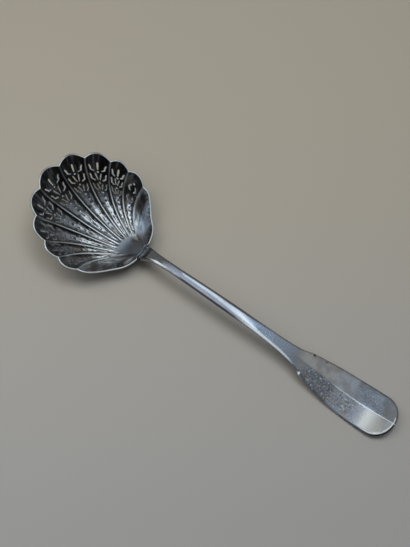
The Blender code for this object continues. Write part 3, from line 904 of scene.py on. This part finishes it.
def tongue_rings(size):
    """Rings of the tongue from its tip to the stem, with the given number of points each."""
    last = size // 2
    lanes = []
    for n in range(last + 1):
        t = n / last
        turn = math.pi * t
        height = 0.5 - 0.5 * math.cos(turn) if t > 0.5 else 0.5 * (2.0 * t) ** 4
        lanes.append((math.sin(turn) ** LANE_ROUND, height))
    lanes = lanes + [(-y, t) for y, t in lanes[-2:0:-1]]
    under = SHEET + 2.0 * SOLDER_GAP + SOLDER_THICK
    rings = []
    for run in TONGUE_LENGTH * np.sin(np.linspace(0.5 * math.pi, 0.0, TONGUE_STEPS)):
        t = run / TONGUE_LENGTH
        half = TONGUE_HALF * max(1.0 - t ** TONGUE_POWER, TONGUE_LEAST) ** TONGUE_ROUND
        rings.append(tongue_ring(run, under, half, TONGUE_THICK * (1.0 - TONGUE_TAPER * t), lanes))
    rings.append(tongue_ring(-JOINT_STEP, under, TONGUE_HALF, TONGUE_THICK, lanes))
    rings.append(tongue_ring(-JOINT_STEP - JOINT_RISE, 0.0, TONGUE_HALF, under + TONGUE_THICK, lanes))
    return np.array(rings)


def ring_faces(count, size):
    """Faces from each ring to the next, and the two ends."""
    faces = []
    for n in range(count - 1):
        for i in range(size):
            j = (i + 1) % size
            faces.append((n * size + i, (n + 1) * size + i, (n + 1) * size + j, n * size + j))
    faces.append(tuple(range(size)))
    faces.append(tuple(reversed(range((count - 1) * size, count * size))))
    return faces


# Wear of the handle, and its painted highlights and shade. A patch is (amount, zone along x, zone across),
# and a zone of four numbers has a margin for each end. Edges are measured in from the side. The near half of
# the handle is where y is below 0.

NEAR = (-99.0, -0.3, 0.6)
FAR = (0.3, 99.0, 0.6)
NEAR_EDGE = (-9.0, 0.5, 0.3)
FILM = 0.15
NEAR_FILM = (1.0, (40.0, 84.0, 16.0, 8.0), (-99.0, -0.6, 1.2))
FAR_FILM = (0.5, (24.0, 999.0, 12.0), (0.6, 99.0, 1.2))
# The stem's film is a tarnish tint that also paints shade over the near half's reflection, edged diagonally.
STEM_FILM_AND_SHADE = (0.85, (-27.0, 18.0, 6.0), EVERY)
STEM_FILM_EDGE = ((-26.0, 3.0), (-19.0, 0.4), (0.0, 0.1), (24.0, -1.9))
STEM_FILM_SOFT = 0.6
WARM_PATCHES = ((1.0, (54.0, 64.0, 12.0), FAR), (-0.5, (-30.0, 44.0, 8.0), EVERY))
COOL_PATCHES = ((1.0, (24.0, 33.0, 7.0), EVERY), (0.6, (34.0, 42.0, 8.0), EVERY),
                (0.5, (86.0, 94.0, 5.0), FAR))
PALE_PATCHES = ((0.34, (66.0, 78.0, 7.0), FAR), (0.34, (73.0, 79.0, 4.0), NEAR))
VEIL_PATCHES = ((0.16, (32.0, 48.0, 8.0), EVERY), (0.32, (54.0, 64.0, 12.0), FAR))
VEIL_NEAR = 0.16
VEIL_FAR = 0.2
FLECKS = (1.0, (58.0, 81.0, 6.0), (-8.0, -0.6, 1.5))
CLOUDED = (1.0, (60.0, 96.0, 8.0), FAR)
STEM = (1.0, (-999.0, 30.0, 18.0), EVERY)
BLUR = (1.0, (80.0, 999.0, 8.0), NEAR)
# Darker by the bowl; on the near half of the tip it is painted shade where the reflection fades.
END_DARKENING = ((0.45, (-999.0, -32.0, 7.0), EVERY), (0.4, (98.0, 999.0, 7.0), NEAR))
# darker lines along the far edge
FAR_EDGE_DARKENING = ((0.7, (-60.0, 96.0, 4.0), (-9.0, 0.4, 0.5)), (0.5, (6.0, 22.0, 5.0), (-9.0, 1.0, 0.6)),
                 (0.3, (56.0, 74.0, 6.0), (-9.0, 0.6, 2.0)))
# painted shade that dims the near chamfer by the bowl
NEAR_CHAMFER_SHADE = (0.7, (-40.0, -26.0, 4.0), NEAR_EDGE)
# painted shade along the stem's near edge
NEAR_EDGE_SHADE = (0.85, (-18.0, 13.0, 6.0), NEAR_EDGE)
WALL_SHADE = 0.75  # painted shade on the narrow sides of the handle
WALL_DEPTH = 0.02
PITS = ((55.2, 5.85, 0.95), (62.0, 6.9, 0.6))  # x, y and size
PIT_EDGE = 1.5
# painted highlights on the blade's ridge, the near shoulder corner and the tip's edge
RIDGE_HIGHLIGHT = (0.9, (74.0, 999.0, 8.0), (-0.05, 0.05, 0.25))
RIDGE_LOWEST = -1.0  # painted highlights reach down to these heights from the crown
CORNER_LOWEST = -1.6
TIP_LOWEST = -1.2
STEM_LOWEST = -0.7
CORNER_X = SHOULDER_X - 0.2
CORNER_REACH = (1.25, 0.4)
TIP_HIGHLIGHT = (0.9, (95.0, 999.0, 6.0), (0.6, 0.8, 0.3))
TIP_HIGHLIGHT_TO = 3.0
CHAMFER_WIDTH = ((20.0, 0.8), (26.0, 1.1), (40.0, 0.85), (50.0, 0.45))
CHAMFER_SOFT = 0.4
CHAMFER_HIGHLIGHT = ((0.85, (28.0, 44.0, 22.0, 8.0), EVERY), (0.2, (-34.0, -28.0, 3.0), EVERY))
GLINT = (0.95, (16.0, 27.0, 6.0), EVERY)  # painted highlight line that crosses the stem
GLINT_Y = ((8.0, 0.5), (15.0, 0.0), (20.0, -0.9), (25.0, -1.6), (30.0, -2.1))
GLINT_WIDTH = 0.5


def handle_dirt_and_shade(x, y, side):
    """Brown by the bowl and far edge; painted shade on the tip, near chamfer by the bowl and narrow sides."""
    far_edge = patches(x, side, FAR_EDGE_DARKENING, np.max) * (y > 0.0)
    near_edge = patch(x, side, *NEAR_CHAMFER_SHADE) * (y < 0.0)
    wall = WALL_SHADE * (side < WALL_DEPTH)
    return np.max([patches(x, y, END_DARKENING, np.max), far_edge, near_edge, wall], axis=0)


def handle_pits_and_shade(x, y, side):
    """Small dark pits, and painted shade along the stem's near edge."""
    dark = patch(x, side, *NEAR_EDGE_SHADE) * (y < 0.0)
    for pit_x, pit_y, size in PITS:
        dark = np.maximum(dark, ease(PIT_EDGE - PIT_EDGE * np.hypot(x - pit_x, y - pit_y) / size))
    return dark


def chamfer_highlight(x, y, z, side):
    """Painted highlight on the stem's near chamfer."""
    lit = band(side, 0.0, straight(CHAMFER_WIDTH, x), CHAMFER_SOFT) * (y < 0.0) * (z > STEM_LOWEST)
    return lit * patches(x, y, CHAMFER_HIGHLIGHT)


def edge_highlights(x, y, z):
    """Painted highlights: lines on the blade's ridge, the near shoulder, the tip's edge and across the stem.
    """
    ridge = patch(x, y, *RIDGE_HIGHLIGHT) * (z > RIDGE_LOWEST)
    corner = fall(np.hypot(x - CORNER_X, y + SHOULDER_HALF), *CORNER_REACH) * (z > CORNER_LOWEST)
    tip = patch(x, distance_to_side(x, y), *TIP_HIGHLIGHT) * (y < TIP_HIGHLIGHT_TO) * (z > TIP_LOWEST)
    glint = patch(x, y, *GLINT) * bell(y, straight(GLINT_Y, x), GLINT_WIDTH) * (z > STEM_LOWEST)
    return np.max([ridge, corner, tip, glint], axis=0)


def handle_wear(x, y, z):
    """Wear and painted light on the handle at points, as shares by name; z is the height from the crown."""
    side = np.maximum(half_width(x), TIP_HALF) - np.abs(y)
    near = patch(x, y, *NEAR_FILM)
    far = patch(x, y, *FAR_FILM)
    stem = patch(x, y, *STEM_FILM_AND_SHADE) * fall(y, straight(STEM_FILM_EDGE, x), STEM_FILM_SOFT)
    veils = [VEIL_NEAR * near, VEIL_FAR * far, patches(x, y, VEIL_PATCHES, np.max),
             patches(x, y, PALE_PATCHES)]
    chamfer = chamfer_highlight(x, y, z, side)
    return {
        # tarnish, with painted shade on the stem's near half
        "tarnish_and_shade": np.clip(FILM + np.maximum(near, stem) + far, 0.0, 1.0),
        "pit_and_shade": handle_pits_and_shade(x, y, side),
        "warm": patches(x, y, WARM_PATCHES),
        "veil": np.max(veils, axis=0),
        "cool": patches(x, y, COOL_PATCHES, np.max),
        "fleck": patch(x, y, *FLECKS),
        "clouded": patch(x, y, *CLOUDED),
        "stem": patch(x, y, *STEM),
        "blur": patch(x, y, *BLUR),
        "dirt_and_shade": handle_dirt_and_shade(x, y, side) * (1.0 - chamfer),
        "painted_shine": np.maximum(edge_highlights(x, y, z), chamfer),
    }


def build_handle():
    rings = handle_rings()
    loops = np.concatenate([tongue_rings(rings.shape[1]), rings])
    points = loops.reshape(-1, 3)
    piece = make_piece("handle_silver", points, ring_faces(*loops.shape[:2]))
    x, y, z = points.T
    for name, values in handle_wear(x, y, z - curve(CROWN, x)).items():
        set_attribute(piece, name, values)
    return piece


# Materials

CLEAN_SILVER = (0.6, 0.71, 0.82)
BOWL_SILVER = (0.56, 0.69, 0.86)
DARK_SILVER = (0.03, 0.028, 0.03)
BROWN_SILVER = (0.17, 0.135, 0.1)
DULL_SILVER = (0.325, 0.318, 0.318)
PAINTED_HIGHLIGHT_COLOUR = (0.8, 0.91, 1.0)
LAVENDER_SILVER = (0.38, 0.45, 0.6)
BLUE_SILVER = (0.52, 0.7, 0.98)
OLIVE_SILVER = (0.52, 0.48, 0.42)
MOTTLE_SILVER = (0.17, 0.18, 0.26)
SOLDER = (0.5, 0.49, 0.47)
SOLDER_STAIN = (0.2, 0.17, 0.14)
FLOOR_FAR_WARM_LIGHT = (0.364, 0.345, 0.297)
FLOOR_NEAR = (0.331, 0.338, 0.346)
FLOOR_ROUGHNESS = 0.6
FLOOR_FADE = 0.13  # painted warm light: the table's colour cools over this distance to each side of the spoon

# Sizes of the noises: features per metre, or per streak in the bowl
BOWL_FINE = 900.0
STREAKS = 1.0
BROAD_STREAKS = 0.55
CLOUDS = 70.0
PATCHES = 240.0
SCRATCHES = 900.0
SPECKS = 1100.0
MOTTLES = 1150.0
LUMPS = 1500.0
SCRATCH_STRETCH = Vector((0.05, 1.0, 1.0))
DETAIL = 3.0
STREAK_DETAIL = 2.0
SCRATCH_DETAIL = 2.0
SPECK_DETAIL = 4.0
BUMP = 0.0001  # heights of the bumps, in metres
RIPPLE_BUMP = 0.0003
HIGHLIGHT_MATT = 0.8  # painted highlights are matt, so they stay bright from all sides

# Directions on the stage are (across, away): how far a direction leans to the picture's right and to its top.
CAMERA_AZIMUTH = math.radians(35.37)
STAGE_RIGHT = Vector((math.cos(CAMERA_AZIMUTH), math.sin(CAMERA_AZIMUTH), 0.0))
STAGE_AWAY = Vector((-math.sin(CAMERA_AZIMUTH), math.cos(CAMERA_AZIMUTH), 0.0))
UP = Vector((0.0, 0.0, 1.0))
MIX_COLOURS = (6, 7)  # the Mix node's sockets for colours
MIX_RESULT = 2


class Finish:
    """The nodes of a material or of the room, with short calls for the few kinds that are used here."""

    def __init__(self, owner):
        owner.use_nodes = True
        self.nodes = owner.node_tree.nodes
        self.links = owner.node_tree.links

    def feed(self, socket, value):
        """Set a socket to a number, a vector or a colour, or lead another socket to it."""
        if isinstance(value, (float, Vector)):
            socket.default_value = value
        elif isinstance(value, tuple):
            socket.default_value = (*value, 1.0)
        else:
            self.links.new(value, socket)

    def add(self, kind, inputs, output, **settings):
        """One output of a new node with the given inputs and settings."""
        found = self.nodes.new("ShaderNode" + kind)
        for name, value in settings.items():
            setattr(found, name, value)
        for socket, value in inputs.items():
            self.feed(found.inputs[socket], value)
        return found.outputs[output]

    def place(self, kind="Object"):
        return self.add("TexCoord", {}, kind)

    def attribute(self, name, output="Fac"):
        return self.add("Attribute", {}, output, attribute_name=name)

    def noise(self, place, scale, detail=DETAIL):
        return self.add("TexNoise", {"Vector": place, "Scale": scale, "Detail": detail}, "Fac")

    def stretch(self, place, scale):
        return self.add("Mapping", {"Vector": place, "Scale": scale}, "Vector")

    def lean(self, place, direction):
        """How far places lie along a direction."""
        return self.add("VectorMath", {0: place, 1: direction}, "Value", operation="DOT_PRODUCT")

    def ramp(self, value, before, after=(0.0, 1.0)):
        """A value eased from one (low, high) range to another."""
        inputs = dict(zip(("From Min", "From Max", "To Min", "To Max"), (*before, *after)))
        inputs["Value"] = value
        return self.add("MapRange", inputs, "Result", interpolation_type="SMOOTHSTEP")

    def combine(self, operation, a, b):
        return self.add("Math", {0: a, 1: b}, "Value", operation=operation, use_clamp=True)

    def times(self, a, b):
        return self.combine("MULTIPLY", a, b)

    def most(self, a, b):
        return self.combine("MAXIMUM", a, b)

    def blend(self, share, a, b):
        """A colour mixed from two colours, each a socket or a plain colour."""
        inputs = {"Factor": share, MIX_COLOURS[0]: a, MIX_COLOURS[1]: b}
        return self.add("Mix", inputs, MIX_RESULT, data_type="RGBA")

    def bump(self, height, strength, distance=BUMP, below=None):
        inputs = {"Strength": strength, "Distance": distance, "Height": height}
        if below is not None:
            inputs["Normal"] = below
        return self.add("Bump", inputs, "Normal")

    def surface(self, colour, metallic, roughness, normal=None):
        inputs = self.nodes["Principled BSDF"].inputs
        self.feed(inputs["Base Color"], colour)
        self.feed(inputs["Metallic"], metallic)
        self.feed(inputs["Roughness"], roughness)
        if normal is not None:
            self.feed(inputs["Normal"], normal)


def bowl_silver():
    """Silver with painted highlights on ridges, rim and streaks, and dark tarnish in the outer flutes."""
    material = bpy.data.materials.new("silver_bowl_finish")
    finish = Finish(material)
    fine = finish.noise(finish.place(), BOWL_FINE)
    flow = finish.attribute("flow", "Vector")
    streak = finish.noise(flow, STREAKS, STREAK_DETAIL)
    broad = finish.noise(flow, BROAD_STREAKS, STREAK_DETAIL)
    worn = finish.ramp(streak, (0.35, 0.65), (0.6, 1.25))
    stain = finish.times(finish.attribute("tarnish_and_shade"), worn)
    stain = finish.times(stain, finish.ramp(fine, (0.3, 0.7), (0.93, 1.05)))
    left = finish.ramp(finish.attribute("side"), (-0.5, -0.1), (1.0, 0.15))
    hue = finish.times(finish.ramp(broad, (0.4, 0.6)), left)
    dark = finish.blend(hue, DARK_SILVER, BROWN_SILVER)
    colour = finish.blend(finish.ramp(stain, (0.0, 0.45)), BOWL_SILVER, DULL_SILVER)
    colour = finish.blend(finish.ramp(stain, (0.25, 1.0)), colour, dark)
    # painted highlights: sheen streaks, plus the rim's edge, ridge lines and piercings' edges below
    glint = finish.times(finish.attribute("sheen"), finish.ramp(streak, (0.47, 0.53)))
    painted_shine = finish.most(finish.attribute("rim"), finish.attribute("painted_highlights"))
    painted_shine = finish.most(painted_shine, glint)
    colour = finish.blend(painted_shine, colour, PAINTED_HIGHLIGHT_COLOUR)
    patchy = finish.times(finish.attribute("haze"), finish.ramp(streak, (0.4, 0.62), (0.3, 1.3)))
    matt = finish.most(patchy, finish.times(painted_shine, HIGHLIGHT_MATT))
    metallic = finish.combine("SUBTRACT", 1.0, matt)
    ripple = finish.attribute("ripple")
    plain = finish.ramp(ripple, (0.0, 0.6), (0.4, 0.09))
    dull = finish.ramp(stain, (0.0, 1.0), (0.09, 0.4))
    rippled = finish.bump(streak, ripple, RIPPLE_BUMP)
    finish.surface(colour, metallic, finish.most(plain, dull), finish.bump(fine, 0.04, below=rippled))
    return material


def handle_silver():
    """Silver with thin tarnish in fine specks, pits, scratches, and painted highlights, sparkle and shade."""
    material = bpy.data.materials.new("silver_handle_finish")
    finish = Finish(material)
    place = finish.place()
    cloud = finish.noise(place, CLOUDS)
    speck = finish.noise(place, SPECKS, SPECK_DETAIL)
    scratch = finish.noise(finish.stretch(place, SCRATCH_STRETCH), SCRATCHES, SCRATCH_DETAIL)
    spots = finish.noise(place, PATCHES)
    mottles = finish.noise(place, MOTTLES)
    stem = finish.attribute("stem")
    grain = finish.most(finish.ramp(speck, (0.35, 0.65), (0.3, 1.0)), finish.times(stem, 0.72))
    film = finish.times(finish.attribute("tarnish_and_shade"), grain)
    film = finish.combine("ADD", film, finish.ramp(cloud, (0.4, 0.7), (0.0, 0.25)))
    warm = finish.ramp(spots, (0.45, 0.65), (0.0, 0.5))
    warm = finish.combine("ADD", finish.attribute("warm"), warm)
    tint = finish.blend(warm, LAVENDER_SILVER, OLIVE_SILVER)
    colour = finish.blend(film, CLEAN_SILVER, tint)
    colour = finish.blend(finish.attribute("cool"), colour, BLUE_SILVER)
    # brown darkening, and painted shade on the tip, the near chamfer and the narrow sides
    colour = finish.blend(finish.attribute("dirt_and_shade"), colour, BROWN_SILVER)
    # dark pits, and painted shade along the stem's near edge
    colour = finish.blend(finish.attribute("pit_and_shade"), colour, DARK_SILVER)
    fleck = finish.attribute("fleck")
    mottle = finish.times(fleck, finish.ramp(mottles, (0.45, 0.59), (0.0, 0.68)))
    clouded = finish.times(finish.attribute("clouded"), finish.ramp(spots, (0.42, 0.62), (0.0, 0.34)))
    colour = finish.blend(finish.most(mottle, clouded), colour, MOTTLE_SILVER)
    # painted sparkle: bright specks on the blade's near facet
    spark = finish.times(fleck, finish.ramp(speck, (0.57, 0.66), (0.0, 0.6)))
    painted_shine = finish.most(finish.attribute("painted_shine"), spark)
    colour = finish.blend(painted_shine, colour, PAINTED_HIGHLIGHT_COLOUR)
    matt = finish.times(finish.attribute("veil"), finish.ramp(speck, (0.35, 0.65), (0.8, 1.15)))
    matt = finish.most(matt, finish.times(painted_shine, HIGHLIGHT_MATT))
    metallic = finish.combine("SUBTRACT", 1.0, matt)
    rough = finish.ramp(film, (0.0, 1.0), (0.13, 0.34))
    blur = finish.ramp(finish.attribute("blur"), (0.0, 1.0), (0.1, 0.26))
    wobble = finish.bump(scratch, 0.1)
    grainy = finish.ramp(stem, (0.0, 1.0), (0.07, 0.015))
    finish.surface(colour, metallic, finish.most(rough, blur), finish.bump(speck, grainy, below=wobble))
    return material


def solder_silver():
    """Dull solder, dark in its small hollows."""
    material = bpy.data.materials.new("solder_finish")
    finish = Finish(material)
    lumps = finish.noise(finish.place(), LUMPS)
    colour = finish.blend(finish.ramp(lumps, (0.4, 0.65)), SOLDER, SOLDER_STAIN)
    rough = finish.ramp(lumps, (0.3, 0.7), (0.3, 0.5))
    finish.surface(colour, 1.0, rough, finish.bump(lumps, 0.3))
    return material


def floor_material():
    """A plain table top, with painted warm light toward the far side."""
    material = bpy.data.materials.new("table")
    finish = Finish(material)
    away = finish.lean(finish.place(), STAGE_AWAY)
    share = finish.ramp(away, (-FLOOR_FADE, FLOOR_FADE))
    finish.surface(finish.blend(share, FLOOR_NEAR, FLOOR_FAR_WARM_LIGHT), 0.0, FLOOR_ROUGHNESS)
    return material


# Stage: table, lights and camera, in metres

CAMERA_TARGET = Vector((-0.0146, 0.0116, 0.0))
CAMERA_ELEVATION = math.radians(70.84)
CAMERA_DISTANCE = 0.4211
CAMERA_LENS = 54.1
FLOOR_HALF = 3.0
ROOM_LEVEL = 0.2
ROOM_TINT = (1.0, 0.94, 0.84)
DARK_LEVEL = 0.018
ROOM_LEAN = 0.8  # the dark reaches higher on the viewer's side
DARK_TO = 0.0
DARK_FROM = 1.0
LAMP_HEIGHT = 0.8
SIDE_HEIGHT = 0.4
COOL = (0.97, 1.0, 1.03)
WARM = (1.06, 0.94, 0.76)
DAYLIGHT = (0.98, 1.0, 1.02)
LAMPLIGHT = (1.1, 0.97, 0.76)


def build_floor():
    mesh = bpy.data.meshes.new("table_top")
    h = FLOOR_HALF
    mesh.from_pydata([(-h, -h, 0.0), (h, -h, 0.0), (h, h, 0.0), (-h, h, 0.0)], [], [(0, 1, 2, 3)])
    mesh.materials.append(floor_material())
    floor = bpy.data.objects.new("table_top", mesh)
    bpy.context.scene.collection.objects.link(floor)


def build_camera():
    camera = bpy.data.cameras.new("camera")
    camera.lens = CAMERA_LENS
    holder = bpy.data.objects.new("camera", camera)
    back = UP * math.sin(CAMERA_ELEVATION) - STAGE_AWAY * math.cos(CAMERA_ELEVATION)
    holder.location = CAMERA_TARGET + back * CAMERA_DISTANCE
    holder.rotation_euler = (-back).to_track_quat("-Z", "Y").to_euler()
    bpy.context.scene.collection.objects.link(holder)
    bpy.context.scene.camera = holder


def build_room():
    """A dim room round the table, darker low down and on the viewer's side."""
    world = bpy.data.worlds.new("room")
    bpy.context.scene.world = world
    finish = Finish(world)
    height = finish.lean(finish.place("Generated"), STAGE_AWAY * ROOM_LEAN + UP)
    level = finish.ramp(height, (DARK_TO, DARK_FROM), (DARK_LEVEL, ROOM_LEVEL))
    back = finish.nodes["Background"]
    finish.feed(back.inputs["Color"], ROOM_TINT)
    finish.feed(back.inputs["Strength"], level)


def softbox(name, across, away, level, tint, height=LAMP_HEIGHT, mirrored=True):
    """A flat soft lamp over the table from (low, high) across to (low, high) away."""
    lamp = bpy.data.lights.new(name, "AREA")
    lamp.shape = "RECTANGLE"
    lamp.size = across[1] - across[0]
    lamp.size_y = away[1] - away[0]
    lamp.energy = level * math.pi * lamp.size * lamp.size_y
    lamp.color = tint
    holder = bpy.data.objects.new(name, lamp)
    middle = STAGE_RIGHT * (0.5 * sum(across)) + STAGE_AWAY * (0.5 * sum(away))
    turn = Matrix((STAGE_RIGHT, STAGE_AWAY, UP)).transposed()
    holder.matrix_world = Matrix.Translation(middle + UP * height) @ turn.to_4x4()
    holder.visible_glossy = mirrored
    holder.visible_camera = False
    bpy.context.scene.collection.objects.link(holder)


def build_lights():
    build_room()
    softbox("window_left", (-0.17, -0.03), (0.2, 0.33), 0.95, COOL)
    softbox("window_top", (-0.03, 0.1), (0.25, 0.36), 0.95, COOL)
    softbox("window_right", (0.05, 0.19), (0.03, 0.25), 0.95, COOL)
    softbox("window_bar", (-0.03, 0.05), (0.06, 0.25), 0.42, COOL)
    softbox("lamp", (-0.27, -0.06), (0.0, 0.2), 1.1, WARM)
    softbox("front", (-0.26, 0.0), (-0.5, -0.06), 0.7, COOL)
    softbox("side", (-0.5, -0.17), (-0.2, 0.19), 1.3, COOL, SIDE_HEIGHT)
    softbox("key", (-0.04, 0.32), (-0.06, 0.3), 8.0, DAYLIGHT, mirrored=False)
    softbox("fill", (-0.48, -0.12), (0.02, 0.38), 3.2, LAMPLIGHT, mirrored=False)


bpy.context.scene.view_settings.view_transform = "Standard"

bowl = build_bowl()
bowl.data.materials.append(bowl_silver())
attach(bowl, "root")
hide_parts("shell_bowl")

handle = build_handle()
handle.data.materials.append(handle_silver())
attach(handle, "root")
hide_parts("handle")

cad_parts["solder_seam"].material_slots[0].material = solder_silver()

build_floor()
build_camera()
build_lights()
